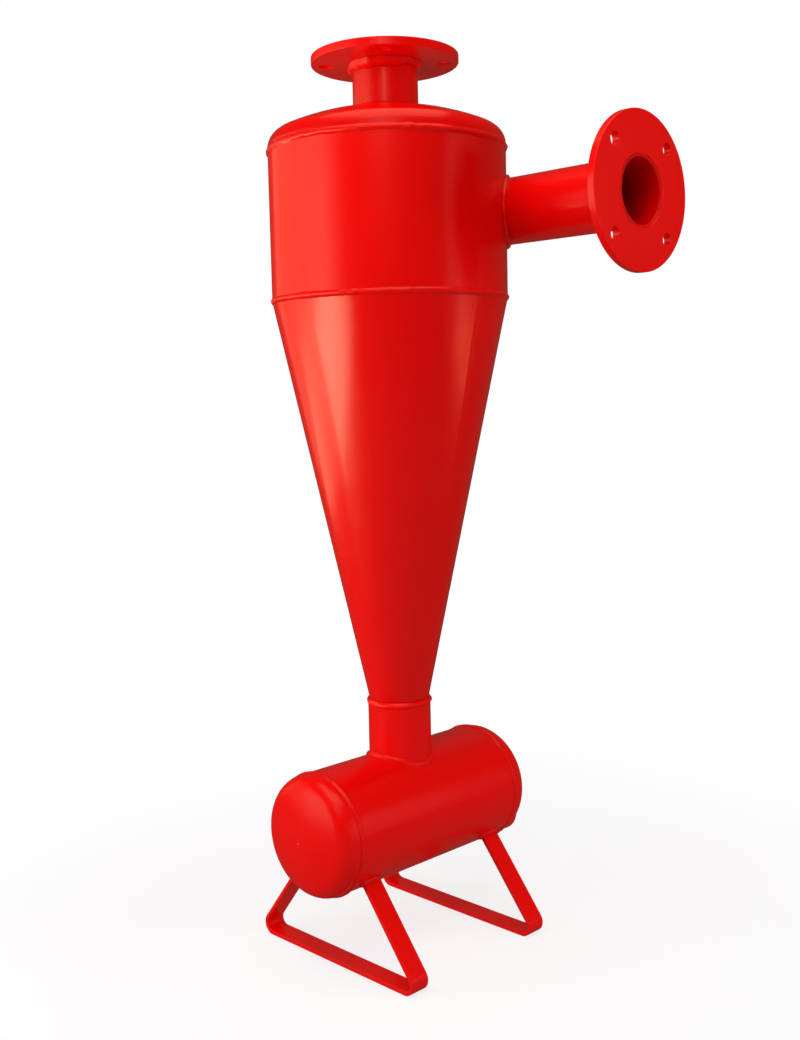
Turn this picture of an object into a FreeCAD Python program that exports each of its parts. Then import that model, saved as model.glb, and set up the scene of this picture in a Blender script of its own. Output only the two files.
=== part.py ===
import FreeCAD, Part
import math
import os
from types import SimpleNamespace

import Sketcher

# A cyclone separator for irrigation water: an inlet that enters the barrel at a tangent,
# a long cone, an outlet pipe through the domed head, and a sediment tank on two strap feet.
# Lengths are in millimetres. The cyclone's own axis is x = y = 0 and the floor is z = 0
# while the pieces are built; each placement then moves the floor plan's centre to the origin.

SIZES = {
    # flanges and the pipes welded into them
    "flange_radius": 100.0,
    "flange_thickness": 11.0,
    "flange_edge": 1.0,
    "bolt_circle_radius": 80.0,
    "bolt_hole_diameter": 18.0,
    "pipe_radius": 44.45,
    "pipe_wall": 3.2,
    "pipe_setback": 4.0,
    # cyclone body
    "barrel_radius": 161.95,
    "shell_wall": 4.0,
    "barrel_length": 200.0,
    "cone_length": 560.5,
    "cone_foot_inset": 2.95,
    "lower_neck_length": 73.5,
    "head_depth": 56.0,
    "head_skirt": 4.0,
    "head_knuckle": 24.0,
    "outlet_neck_length": 69.5,
    "outlet_pipe_overhang": 23.0,
    # inlet, measured from the barrel's top seam and side
    "inlet_drop": 84.0,
    "inlet_inset": 2.5,
    "inlet_standout": 172.0,
    # sediment tank
    "tank_height": 188.5,
    "tank_radius": 84.0,
    "tank_wall": 4.5,
    "tank_half_length": 155.0,
    "tank_head_depth": 41.0,
    "tank_head_skirt": 5.0,
    "tank_head_knuckle": 27.0,
    # drain socket
    "drain_overhang": 2.0,
    "drain_shift": 8.0,
    "drain_radius": 34.0,
    "drain_bore_radius": 28.3,
    "drain_standout": 52.0,
    "drain_root": 6.0,
    # strap feet
    "strap_thickness": 6.0,
    "strap_width": 30.0,
    "strap_bend_radius": 16.0,
    "foot_half_width": 168.0,
    "leg_aim": 19.1,
    "front_foot_inset": 33.0,
    "rear_foot_inset": 38.0,
    # weld beads
    "seam_rise": 3.0,
    "small_rise": 1.4,
    "tank_rise": 2.4,
    "seam_width": 11.0,
    "flange_leg": 9.0,
    "flange_leg_on_pipe": 13.0,
    "small_leg": 5.0,
}

ORIGIN = FreeCAD.Vector(0, 0, 0)
RIGHTWARD = FreeCAD.Vector(1, 0, 0)
BACKWARD = FreeCAD.Vector(0, 1, 0)
UPWARD = FreeCAD.Vector(0, 0, 1)

# turns that lay a piece built along +Z onto another direction
TURN_NONE = FreeCAD.Rotation(0, 0, 0)
TURN_DOWN = FreeCAD.Rotation(FreeCAD.Vector(1, 0, 0), 180)
TURN_RIGHT = FreeCAD.Rotation(FreeCAD.Vector(0, 1, 0), 90)
TURN_LEFT = FreeCAD.Rotation(FreeCAD.Vector(0, 1, 0), -90)
TURN_BACK = FreeCAD.Rotation(FreeCAD.Vector(1, 0, 0), -90)
TURN_FRONT = FreeCAD.Rotation(FreeCAD.Vector(1, 0, 0), 90)

document = FreeCAD.newDocument("cyclone_separator")
sheet = document.addObject("Spreadsheet::Sheet", "Sizes")
parts = {}


class Size:
    """A length that knows its number and the sheet expression it comes from."""

    def __init__(self, number, words):
        self.number = float(number)
        self.words = words

    def __add__(self, other):
        other = as_size(other)
        return Size(self.number + other.number, f"({self.words} + {other.words})")

    def __sub__(self, other):
        other = as_size(other)
        return Size(self.number - other.number, f"({self.words} - {other.words})")

    def __mul__(self, other):
        other = as_size(other)
        return Size(self.number * other.number, f"({self.words} * {other.words})")

    def __truediv__(self, other):
        other = as_size(other)
        return Size(self.number / other.number, f"({self.words} / {other.words})")

    def __neg__(self):
        return Size(0 - self.number, f"(0 - {self.words})")

    def root(self):
        return Size(math.sqrt(self.number), f"sqrt({self.words})")


def as_size(value):
    return value if isinstance(value, Size) else Size(value, repr(float(value)))


def fill_sheet():
    for row, (name, number) in enumerate(SIZES.items(), start=1):
        sheet.set(f"A{row}", name)
        sheet.set(f"B{row}", str(number))
        sheet.setAlias(f"B{row}", name)
    document.recompute()


def drive(thing, field, value):
    thing.setExpression(field, as_size(value).words)


given = SimpleNamespace(**{name: Size(SIZES[name], f"Sizes.{name}") for name in SIZES})

# levels above the floor, from the tank up
CONE_FOOT = given.tank_height + given.tank_radius + given.lower_neck_length
CONE_SEAM = CONE_FOOT + given.cone_length
HEAD_SEAM = CONE_SEAM + given.barrel_length
OVERALL_HEIGHT = HEAD_SEAM + given.head_depth + given.outlet_neck_length
INLET_HEIGHT = HEAD_SEAM - given.inlet_drop
OUTLET_PIPE_FOOT = INLET_HEIGHT - given.pipe_radius - given.outlet_pipe_overhang

# the inlet's place beside the cyclone's axis, and its reach to the flange face
INLET_OFFSET = given.barrel_radius - given.pipe_radius - given.inlet_inset
INLET_REACH = given.barrel_radius + given.inlet_standout

# the feet: run of a leg for each unit of its rise, and their places under the tank
FOOT_LEAN = (given.foot_half_width - given.leg_aim) / given.tank_height
FRONT_FOOT = given.front_foot_inset - given.tank_half_length
REAR_FOOT = given.tank_half_length - given.rear_foot_inset

# where the cyclone's axis stands from the middle of the floor plan
AXIS_X = (given.barrel_radius + given.seam_rise - INLET_REACH) / 2
PLAN_BACK = INLET_OFFSET + given.flange_radius
PLAN_FRONT = given.tank_half_length + given.tank_head_depth
AXIS_Y = (PLAN_FRONT - PLAN_BACK) / 2


def place(thing, x=0.0, y=0.0, z=0.0, turn=TURN_NONE):
    """Put a piece at a spot measured from the cyclone's axis at floor level."""
    thing.Placement = FreeCAD.Placement(ORIGIN, turn)
    drive(thing, "Placement.Base.x", AXIS_X + x)
    drive(thing, "Placement.Base.y", AXIS_Y + y)
    drive(thing, "Placement.Base.z", z)


def set_up(thing, field, value):
    setattr(thing, field, value.number)
    drive(thing, field, value)


# sketches


def new_body(label):
    body = document.addObject("PartDesign::Body", label)
    body.Label = label
    parts[label] = body
    return body


def new_sketch(body, plane, name):
    sketch = body.newObject("Sketcher::SketchObject", name)
    for item in body.Origin.OriginFeatures:
        if item.Role == plane:
            sketch.AttachmentSupport = [(item, "")]
    sketch.MapMode = "FlatFace"
    return sketch


def bind(sketch, kind, places, value):
    value = as_size(value)
    index = sketch.addConstraint(Sketcher.Constraint(kind, *places, value.number))
    if "Sizes." in value.words:
        sketch.setExpression(f"Constraints[{index}]", value.words)


def pin_point(sketch, shape, spot, x, y):
    """Hold one point of a sketch at x, y, each of them a Size or a plain zero."""
    if as_size(x).number == 0 and as_size(y).number == 0:
        sketch.addConstraint(Sketcher.Constraint("Coincident", shape, spot, -1, 1))
        return
    for value, kind, axis in ((x, "DistanceX", -2), (y, "DistanceY", -1)):
        if as_size(value).number == 0:
            sketch.addConstraint(Sketcher.Constraint("PointOnObject", shape, spot, axis))
        else:
            bind(sketch, kind, (-1, 1, shape, spot), value)


def add_circle(sketch, radius, x=0.0, y=0.0):
    centre = FreeCAD.Vector(as_size(x).number, as_size(y).number, 0)
    circle = Part.Circle(centre, FreeCAD.Vector(0, 0, 1), as_size(radius).number)
    index = sketch.addGeometry(circle, False)
    bind(sketch, "Radius", (index,), radius)
    pin_point(sketch, index, 3, x, y)


def add_polygon(sketch, corners):
    spots = [FreeCAD.Vector(as_size(x).number, as_size(y).number, 0) for x, y in corners]
    lines = []
    for number, start in enumerate(spots):
        end = spots[(number + 1) % len(spots)]
        lines.append(sketch.addGeometry(Part.LineSegment(start, end), False))
    for number, line in enumerate(lines):
        following = lines[(number + 1) % len(lines)]
        sketch.addConstraint(Sketcher.Constraint("Coincident", line, 2, following, 1))
        pin_point(sketch, line, 1, *corners[number])
    return lines


# features


def pad(body, sketch, length, midplane=False, backwards=False):
    feature = body.newObject("PartDesign::Pad", "Pad")
    feature.Profile = sketch
    feature.Midplane = midplane
    feature.Reversed = backwards
    set_up(feature, "Length", as_size(length))
    document.recompute()
    return feature


def cut_through(body, sketch, length, midplane=False, backwards=False, side=None):
    """Pocket a sketch and make sure that metal went, and from the wanted side if one is named."""
    before = body.Shape.Volume
    balance = body.Shape.Solids[0].CenterOfMass
    feature = body.newObject("PartDesign::Pocket", "Pocket")
    feature.Profile = sketch
    feature.Midplane = midplane
    feature.Reversed = backwards
    set_up(feature, "Length", as_size(length))
    document.recompute()
    if body.Shape.Volume > before - 1:
        raise RuntimeError(f"{body.Label}: the pocket missed the metal")
    if side is not None and (body.Shape.Solids[0].CenterOfMass - balance).dot(side) > -0.0001:
        raise RuntimeError(f"{body.Label}: the pocket went the wrong way")
    return feature


def revolve(body, sketch, axis="V_Axis"):
    feature = body.newObject("PartDesign::Revolution", "Revolution")
    feature.Profile = sketch
    feature.ReferenceAxis = (sketch, [axis])
    feature.Angle = 360.0
    document.recompute()
    return feature


def edges_where(shape, wanted):
    return [f"Edge{n}" for n, edge in enumerate(shape.Edges, start=1) if wanted(edge)]


def dress(body, kind, base, names, amount):
    """Round or bevel the named edges of the base feature."""
    feature = body.newObject(f"PartDesign::{kind}", kind)
    feature.Base = (base, names)
    field = "Radius" if kind == "Fillet" else "Size"
    set_up(feature, field, as_size(amount))
    document.recompute()
    return feature


def ring_body(label, outer, inner, length, plane="XY_Plane", midplane=False):
    """A plain tube or ring standing on the named plane."""
    body = new_body(label)
    sketch = new_sketch(body, plane, "ring_sketch")
    add_circle(sketch, outer)
    add_circle(sketch, inner)
    pad(body, sketch, length, midplane)
    return body


def turned_body(label, corners):
    """A ring of metal turned about the vertical axis from its section."""
    body = new_body(label)
    sketch = new_sketch(body, "XZ_Plane", "section_sketch")
    add_polygon(sketch, corners)
    revolve(body, sketch)
    return body


# the cyclone


def build_flange(label):
    """A plate flange with four bolt holes that straddle its centre lines."""
    body = ring_body(label, given.flange_radius, given.pipe_radius, given.flange_thickness)
    rim = given.flange_radius.number
    rims = edges_where(body.Shape, lambda edge: is_circle_of(edge, rim))
    dress(body, "Chamfer", body.Tip, rims, given.flange_edge)
    reach = given.bolt_circle_radius * math.sqrt(0.5)
    sketch = new_sketch(body, "XY_Plane", "hole_sketch")
    add_circle(sketch, given.bolt_hole_diameter / 2, reach, reach)
    hole = cut_through(body, sketch, given.flange_thickness, backwards=True)
    pattern = body.newObject("PartDesign::PolarPattern", "bolt_circle")
    pattern.Originals = [hole]
    pattern.Axis = (sketch, ["N_Axis"])
    pattern.Angle = 360.0
    pattern.Occurrences = 4
    body.Tip = pattern
    document.recompute()


def is_circle_of(edge, radius):
    return hasattr(edge.Curve, "Radius") and abs(edge.Curve.Radius - radius) < 0.01


def build_flange_weld(label):
    """The corner weld behind a flange: one leg out along the plate, a longer one on the pipe."""
    near = given.pipe_radius
    leg = given.flange_leg
    rise = given.flange_leg_on_pipe
    turned_body(label, [
        (near, 0.0),
        (near + leg, 0.0),
        (near + leg * 0.7, rise * 0.35),
        (near + leg * 0.3, rise * 0.75),
        (near, rise),
    ])


def build_face_weld(label):
    """The ground weld that fills the flange bore between the pipe's end and the face."""
    turned_body(label, [
        (given.pipe_radius - given.pipe_wall, 0.0),
        (given.pipe_radius, 0.0),
        (given.pipe_radius, given.pipe_setback),
        (given.pipe_radius - given.pipe_wall * 0.7, given.pipe_setback),
    ])


def build_outlet():
    inner = given.pipe_radius - given.pipe_wall
    seat = OVERALL_HEIGHT - given.flange_thickness
    foot = OUTLET_PIPE_FOOT
    pipe_end = OVERALL_HEIGHT - given.pipe_setback
    build_flange("outlet_flange")
    place(parts["outlet_flange"], z=seat)
    ring_body("outlet_pipe", given.pipe_radius, inner, pipe_end - foot)
    place(parts["outlet_pipe"], z=foot)
    build_flange_weld("outlet_flange_weld")
    place(parts["outlet_flange_weld"], z=seat, turn=TURN_DOWN)
    build_face_weld("outlet_face_weld")
    place(parts["outlet_face_weld"], z=pipe_end)


def crown_radius(radius, depth, knuckle):
    """Outer radius of the crown that meets the knuckle smoothly in a dish of this depth."""
    span = radius - knuckle
    return (span * span + depth * depth - knuckle * knuckle) / ((depth - knuckle) * 2)


def build_dome(label, radius, wall, skirt, depth, knuckle, hole=0.0):
    """A pressed head of even thickness: skirt, knuckle and shallow crown, open at the hole.

    Its edge stands at z = 0 and the crown's middle would be at z = depth; the skirt is the
    straight lowest part of that depth."""
    body = new_body(label)
    sketch = new_sketch(body, "XZ_Plane", "dome_sketch")
    outer = add_outer_skin(sketch, radius, skirt, depth, knuckle, hole)
    inner = add_skin(sketch, radius, skirt, depth, knuckle, wall.number, hole)
    bind(sketch, "DistanceX", (-1, 1, inner[0], 1), radius - wall)
    sketch.addConstraint(Sketcher.Constraint("PointOnObject", inner[0], 1, -1))
    for arc in (1, 2):
        sketch.addConstraint(Sketcher.Constraint("Coincident", outer[arc], 3, inner[arc], 3))
    close_gap(sketch, (outer[2], 2), (inner[2], 2))
    close_gap(sketch, (inner[0], 1), (outer[0], 1))
    revolve(body, sketch)
    return body


def build_plug(label, margin):
    """The solid shape of a tank head's outside, grown by a margin, to cut other pieces by."""
    body = document.addObject("PartDesign::Body", label)
    sketch = new_sketch(body, "XZ_Plane", "plug_sketch")
    outer = add_outer_skin(
        sketch, given.tank_radius + margin, given.tank_head_skirt,
        given.tank_head_depth + margin, given.tank_head_knuckle + margin, 0.0,
    )
    close_gap(sketch, (outer[2], 2), (-1, 1))
    close_gap(sketch, (-1, 1), (outer[0], 1))
    revolve(body, sketch)
    body.Placement = FreeCAD.Placement(ORIGIN, TURN_BACK)
    drive(body, "Placement.Base.y", given.tank_half_length)
    drive(body, "Placement.Base.z", given.tank_height)
    return body


def add_outer_skin(sketch, radius, skirt, depth, knuckle, hole):
    """The outside of a dome's section, held by its own radius, depth and knuckle."""
    skin = add_skin(sketch, radius, skirt, depth, knuckle, 0.0, hole)
    pin_point(sketch, skin[0], 1, radius, 0.0)
    bind(sketch, "Radius", (skin[1],), knuckle)
    bind(sketch, "DistanceY", (-1, 1, skin[1], 3), skirt)
    sketch.addConstraint(Sketcher.Constraint("PointOnObject", skin[2], 3, -2))
    if as_size(hole).number == 0:
        bind(sketch, "DistanceY", (-1, 1, skin[2], 2), depth)
    else:
        bind(sketch, "Radius", (skin[2],), crown_radius(radius, depth - skirt, knuckle))
    return skin


def add_skin(sketch, radius, skirt, depth, knuckle, inset, hole):
    """Draw one skin of a dome's section: a straight skirt and its two tangent arcs."""
    crown = crown_radius(radius, depth - skirt, knuckle)
    side = radius.number - inset
    bend_spot = FreeCAD.Vector(radius.number - knuckle.number, skirt.number, 0)
    bow_spot = FreeCAD.Vector(0, depth.number - crown.number, 0)
    lean = math.atan2(bend_spot.y - bow_spot.y, bend_spot.x)
    bow = crown.number - inset
    stop = math.acos(as_size(hole).number / bow)
    bend_circle = Part.Circle(bend_spot, UPWARD, knuckle.number - inset)
    bow_circle = Part.Circle(bow_spot, UPWARD, bow)
    wall_line = Part.LineSegment(
        FreeCAD.Vector(side, 0, 0), FreeCAD.Vector(side, skirt.number, 0)
    )
    line = sketch.addGeometry(wall_line, False)
    bend = sketch.addGeometry(Part.ArcOfCircle(bend_circle, 0, lean), False)
    crest = sketch.addGeometry(Part.ArcOfCircle(bow_circle, lean, stop), False)
    sketch.addConstraint(Sketcher.Constraint("Vertical", line))
    sketch.addConstraint(Sketcher.Constraint("Tangent", line, 2, bend, 1))
    sketch.addConstraint(Sketcher.Constraint("Tangent", bend, 2, crest, 1))
    if as_size(hole).number == 0:
        sketch.addConstraint(Sketcher.Constraint("PointOnObject", crest, 2, -2))
    else:
        bind(sketch, "DistanceX", (-1, 1, crest, 2), hole)
    return line, bend, crest


def close_gap(sketch, start, end):
    """Join two free ends of a section with a straight line."""
    spots = [sketch.getPoint(*start), sketch.getPoint(*end)]
    line = sketch.addGeometry(Part.LineSegment(*spots), False)
    sketch.addConstraint(Sketcher.Constraint("Coincident", start[0], start[1], line, 1))
    sketch.addConstraint(Sketcher.Constraint("Coincident", line, 2, end[0], end[1]))


def build_head():
    build_dome(
        "top_head", given.barrel_radius, given.shell_wall, given.head_skirt,
        given.head_depth, given.head_knuckle, given.pipe_radius,
    )
    place(parts["top_head"], z=HEAD_SEAM)
    crown = crown_radius(
        given.barrel_radius, given.head_depth - given.head_skirt, given.head_knuckle
    )
    near = given.pipe_radius
    far = near + given.small_leg
    near_rise = (crown * crown - near * near).root() - crown
    far_rise = (crown * crown - far * far).root() - crown
    turned_body("outlet_head_weld", [
        (near, near_rise),
        (far, far_rise),
        (near + given.small_leg * 0.45, near_rise + given.small_leg * 0.45),
        (near, near_rise + given.small_leg),
    ])
    place(parts["outlet_head_weld"], z=HEAD_SEAM + given.head_depth)


def build_barrel():
    """The barrel tube, with the round mouth of the inlet cut where the pipe lands on it."""
    inner = given.barrel_radius - given.shell_wall
    length = HEAD_SEAM - CONE_SEAM
    body = ring_body("barrel", given.barrel_radius, inner, length)
    sketch = new_sketch(body, "YZ_Plane", "inlet_mouth_sketch")
    rise = INLET_HEIGHT - CONE_SEAM
    add_circle(sketch, given.pipe_radius - given.pipe_wall, INLET_OFFSET, rise)
    cut_through(body, sketch, given.barrel_radius, backwards=True, side=RIGHTWARD)
    place(body, z=CONE_SEAM)


def build_seam_bead(label, radius, width, rise, lower_inset=0.0):
    """A butt weld's crown; its lower half may lean inwards to follow a cone."""
    half = width / 2
    turned_body(label, [
        (radius, 0.0),
        (radius - lower_inset, -half),
        (radius - lower_inset + rise * 0.4, -half),
        (radius + rise, -half * 0.4),
        (radius + rise, half * 0.4),
        (radius + rise * 0.4, half),
        (radius, half),
    ])


def build_cone():
    drop = CONE_SEAM - CONE_FOOT
    top = given.barrel_radius
    foot = given.pipe_radius - given.cone_foot_inset
    wall = given.shell_wall
    turned_body("cone", [(foot - wall, 0.0), (foot, 0.0), (top, drop), (top - wall, drop)])
    place(parts["cone"], z=CONE_FOOT)
    slope = (top - foot) / drop
    half = given.seam_width / 2
    build_seam_bead("barrel_cone_weld", top, given.seam_width, given.seam_rise, slope * half)
    place(parts["barrel_cone_weld"], z=CONE_SEAM)
    build_seam_bead("head_seam_weld", top, given.seam_width, given.seam_rise)
    place(parts["head_seam_weld"], z=HEAD_SEAM)
    turned_body("cone_neck_weld", [
        (foot, 0.0),
        (given.pipe_radius, 0.0),
        (given.pipe_radius, -half * 0.8),
        (given.pipe_radius + given.small_rise, -half * 0.4),
        (given.pipe_radius + given.small_rise, half * 0.5),
        (foot + slope * half, half),
    ])
    place(parts["cone_neck_weld"], z=CONE_FOOT)


def build_lower_neck():
    """The underflow pipe, cut to sit on the tank's back."""
    length = CONE_FOOT - given.tank_height
    inner = given.pipe_radius - given.pipe_wall
    body = ring_body("lower_neck", given.pipe_radius, inner, length)
    sketch = new_sketch(body, "XZ_Plane", "saddle_sketch")
    add_circle(sketch, given.tank_radius)
    cut_through(body, sketch, given.pipe_radius * 3, midplane=True)
    place(body, z=given.tank_height)


def build_inlet():
    """The inlet pipe, cut to sit on the barrel's side, and its flange."""
    inner = given.pipe_radius - given.pipe_wall
    pipe_end = INLET_REACH - given.pipe_setback
    seat = INLET_REACH - given.flange_thickness
    across = INLET_OFFSET
    up = INLET_HEIGHT
    body = new_body("inlet_pipe")
    sketch = new_sketch(body, "YZ_Plane", "ring_sketch")
    add_circle(sketch, given.pipe_radius, across)
    add_circle(sketch, inner, across)
    pad(body, sketch, pipe_end)
    saddle = new_sketch(body, "XY_Plane", "saddle_sketch")
    add_circle(saddle, given.barrel_radius)
    cut_through(body, saddle, given.pipe_radius * 3, midplane=True)
    place(body, z=up)
    build_flange("inlet_flange")
    place(parts["inlet_flange"], seat, across, up, TURN_RIGHT)
    build_flange_weld("inlet_flange_weld")
    place(parts["inlet_flange_weld"], seat, across, up, TURN_LEFT)
    build_face_weld("inlet_face_weld")
    place(parts["inlet_face_weld"], pipe_end, across, up, TURN_RIGHT)


# welds that follow the meeting of two cylinders


def add_cylinder(name, radius, length, x=0.0, y=0.0, z=0.0, turn=TURN_NONE):
    thing = document.addObject("Part::Cylinder", name)
    set_up(thing, "Radius", as_size(radius))
    set_up(thing, "Height", as_size(length))
    thing.Placement = FreeCAD.Placement(ORIGIN, turn)
    for field, value in (("x", x), ("y", y), ("z", z)):
        drive(thing, f"Placement.Base.{field}", value)
    return thing


def combine(kind, name, base, tool):
    thing = document.addObject(f"Part::{kind}", name)
    thing.Base = base
    thing.Tool = tool
    return thing


def add_sleeve(name, radius, thickness, *where):
    """A tube of the given inner radius, for cutting a weld's outline."""
    outer = add_cylinder(f"{name}_outer", radius + thickness, *where)
    inner = add_cylinder(f"{name}_inner", radius, *where)
    return combine("Cut", name, outer, inner)


def build_saddle_welds():
    leg = given.small_leg
    span = (given.pipe_radius + leg) * 3
    pipe = add_sleeve(
        "neck_sleeve", given.pipe_radius, leg, given.tank_radius + leg * 2,
        0.0, 0.0, given.tank_height,
    )
    tank = add_sleeve(
        "tank_sleeve", given.tank_radius, leg, span,
        0.0, -span / 2, given.tank_height, TURN_BACK,
    )
    parts["neck_tank_weld"] = combine("Common", "neck_tank_weld", pipe, tank)
    place(parts["neck_tank_weld"])
    start = given.pipe_radius * 0.25
    branch = add_sleeve(
        "inlet_sleeve", given.pipe_radius, leg, given.barrel_radius,
        start, INLET_OFFSET, INLET_HEIGHT, TURN_RIGHT,
    )
    barrel = add_sleeve(
        "barrel_sleeve", given.barrel_radius, leg, span,
        0.0, 0.0, INLET_HEIGHT - span / 2,
    )
    parts["inlet_barrel_weld"] = combine("Common", "inlet_barrel_weld", branch, barrel)
    place(parts["inlet_barrel_weld"])


# the sediment tank


def build_tank():
    """The lying tank shell with the mouth of the underflow pipe in its back."""
    half = given.tank_half_length
    wall = given.tank_wall
    body = ring_body(
        "tank_shell", given.tank_radius, given.tank_radius - wall, half * 2, "XZ_Plane", True
    )
    sketch = new_sketch(body, "XY_Plane", "neck_mouth_sketch")
    add_circle(sketch, given.pipe_radius - given.pipe_wall)
    cut_through(body, sketch, given.tank_radius, backwards=True, side=UPWARD)
    place(body, z=given.tank_height)
    for label, turn, side in (
        ("tank_front", TURN_FRONT, -half),
        ("tank_rear", TURN_BACK, half),
    ):
        head = build_dome(
            f"{label}_head", given.tank_radius, wall, given.tank_head_skirt,
            given.tank_head_depth, given.tank_head_knuckle,
        )
        place(head, 0.0, side, given.tank_height, turn)
        build_seam_bead(f"{label}_weld", given.tank_radius, given.seam_width, given.tank_rise)
        place(parts[f"{label}_weld"], 0.0, side, given.tank_height, turn)


def build_drain():
    """A threaded socket set low through the rear head, so that the tank empties."""
    leg = given.small_leg
    drop = given.tank_radius - given.drain_radius + given.drain_overhang
    head = parts["tank_rear_head"]
    mouth = new_sketch(head, "XY_Plane", "drain_mouth_sketch")
    drive(mouth, "AttachmentOffset.Base.z", given.drain_root)
    add_circle(mouth, given.drain_bore_radius, given.drain_shift, drop)
    cut_through(head, mouth, given.tank_head_depth, backwards=True, side=BACKWARD)
    wall = given.drain_radius - given.drain_bore_radius
    length = given.drain_standout - given.drain_root
    root = given.tank_half_length + given.drain_root
    where = (given.drain_shift, root, given.tank_height - drop, TURN_BACK)
    tube = add_sleeve("drain_tube", given.drain_bore_radius, wall, length, *where)
    collar = add_sleeve("drain_collar", given.drain_radius, leg, length, *where)
    plug = build_plug("rear_head_plug", as_size(0.0))
    bead = build_plug("rear_head_bead", leg)
    parts["drain_socket"] = combine("Cut", "drain_socket", tube, plug)
    shaped = combine("Common", "drain_bead", collar, bead)
    parts["drain_socket_weld"] = combine("Cut", "drain_socket_weld", shaped, plug)
    place(parts["drain_socket"])
    place(parts["drain_socket_weld"])


# the strap feet


def build_foot(label, offset):
    """One flat bar bent to a floor bar and two legs that run up to the tank's belly."""
    lean = FOOT_LEAN
    thick = given.strap_thickness
    bar = given.foot_half_width
    top = given.tank_height - given.tank_radius * 0.5
    slant = (lean * lean + 1).root() * thick
    inner_foot = bar - slant - lean * thick
    inner_top = top - thick
    inner_reach = bar - slant - lean * inner_top
    outer_reach = bar - lean * top
    body = new_body(label)
    sketch = new_sketch(body, "XZ_Plane", "bar_sketch")
    add_polygon(sketch, [(-bar, 0.0), (bar, 0.0), (outer_reach, top), (-outer_reach, top)])
    add_polygon(sketch, [
        (-inner_foot, thick), (inner_foot, thick),
        (inner_reach, inner_top), (-inner_reach, inner_top),
    ])
    pad(body, sketch, given.strap_width, midplane=True)
    for height, radius in (
        (0.0, given.strap_bend_radius),
        (thick.number, given.strap_bend_radius - thick),
    ):
        corners = edges_where(body.Shape, lambda edge: lies_along_y_at(edge, height))
        dress(body, "Fillet", body.Tip, corners, radius)
    seat = new_sketch(body, "XZ_Plane", "seat_sketch")
    add_circle(seat, given.tank_radius, 0.0, given.tank_height)
    cut_through(body, seat, given.strap_width * 2, midplane=True)
    place(body, 0.0, offset, 0.0)


def lies_along_y_at(edge, height):
    spots = [vertex.Point for vertex in edge.Vertexes]
    if len(spots) != 2 or abs(spots[0].x - spots[1].x) > 0.01:
        return False
    level = all(abs(spot.z - height) < 0.01 for spot in spots)
    return level and abs(spots[0].y - spots[1].y) > 1


def build_feet():
    for label, offset in (("front_foot", FRONT_FOOT), ("rear_foot", REAR_FOOT)):
        build_foot(label, offset)
        for side, hand in (("left", -1), ("right", 1)):
            build_foot_weld(f"{label}_weld_{side}", offset, hand)


def build_foot_weld(label, offset, hand):
    """A weld all round one leg where it meets the tank."""
    leg = given.small_leg
    wide = given.strap_width + leg * 2
    outer = add_leg_block(f"{label}_outer", leg, hand)
    inner = add_leg_block(f"{label}_inner", Size(0.0, "0"), hand)
    collar = combine("Cut", f"{label}_collar", outer, inner)
    belly = add_sleeve(
        f"{label}_belly", given.tank_radius, leg, wide * 2,
        0.0, -wide, given.tank_height, TURN_BACK,
    )
    parts[label] = combine("Common", label, collar, belly)
    place(parts[label], 0.0, offset, 0.0)


def add_leg_block(name, margin, hand):
    """A straight block round one leg, from its foot to inside the tank."""
    lean = FOOT_LEAN
    slant = (lean * lean + 1).root()
    outer_foot = given.foot_half_width + slant * margin
    width = given.strap_thickness + margin * 2
    block = document.addObject("Part::Box", name)
    set_up(block, "Length", width)
    set_up(block, "Width", given.strap_width + margin * 2)
    set_up(block, "Height", slant * given.tank_height)
    angle = math.degrees(math.atan(lean.number))
    if hand > 0:
        turn = FreeCAD.Rotation(FreeCAD.Vector(0, 1, 0), -angle)
        x_start = outer_foot - width / slant
        z_start = -(width * lean / slant)
    else:
        turn = FreeCAD.Rotation(FreeCAD.Vector(0, 1, 0), angle)
        x_start = -outer_foot
        z_start = as_size(0.0)
    block.Placement = FreeCAD.Placement(ORIGIN, turn)
    drive(block, "Placement.Base.x", x_start)
    drive(block, "Placement.Base.y", -(given.strap_width / 2 + margin))
    drive(block, "Placement.Base.z", z_start)
    return block


def check_and_write():
    document.recompute()
    for item in document.Objects:
        if "Invalid" in item.State or "Error" in item.State:
            raise RuntimeError(f"{item.Label} has state {item.State}")
    os.makedirs("parts", exist_ok=True)
    for label, thing in parts.items():
        shape = thing.Shape
        if shape.isNull() or not shape.isValid():
            raise RuntimeError(f"{label} has no sound shape")
        if len(shape.Solids) != 1:
            raise RuntimeError(f"{label} is {len(shape.Solids)} solids")
        shape.exportStep(f"parts/{label}.step")


fill_sheet()
build_outlet()
build_head()
build_barrel()
build_cone()
build_inlet()
build_lower_neck()
build_saddle_welds()
build_tank()
build_drain()
build_feet()
check_and_write()
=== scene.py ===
"""A cyclone separator for irrigation water, in gloss red paint, on a plain pale floor."""

import math

import bmesh
import bpy
import numpy as np
from mathutils import Matrix, Vector


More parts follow.
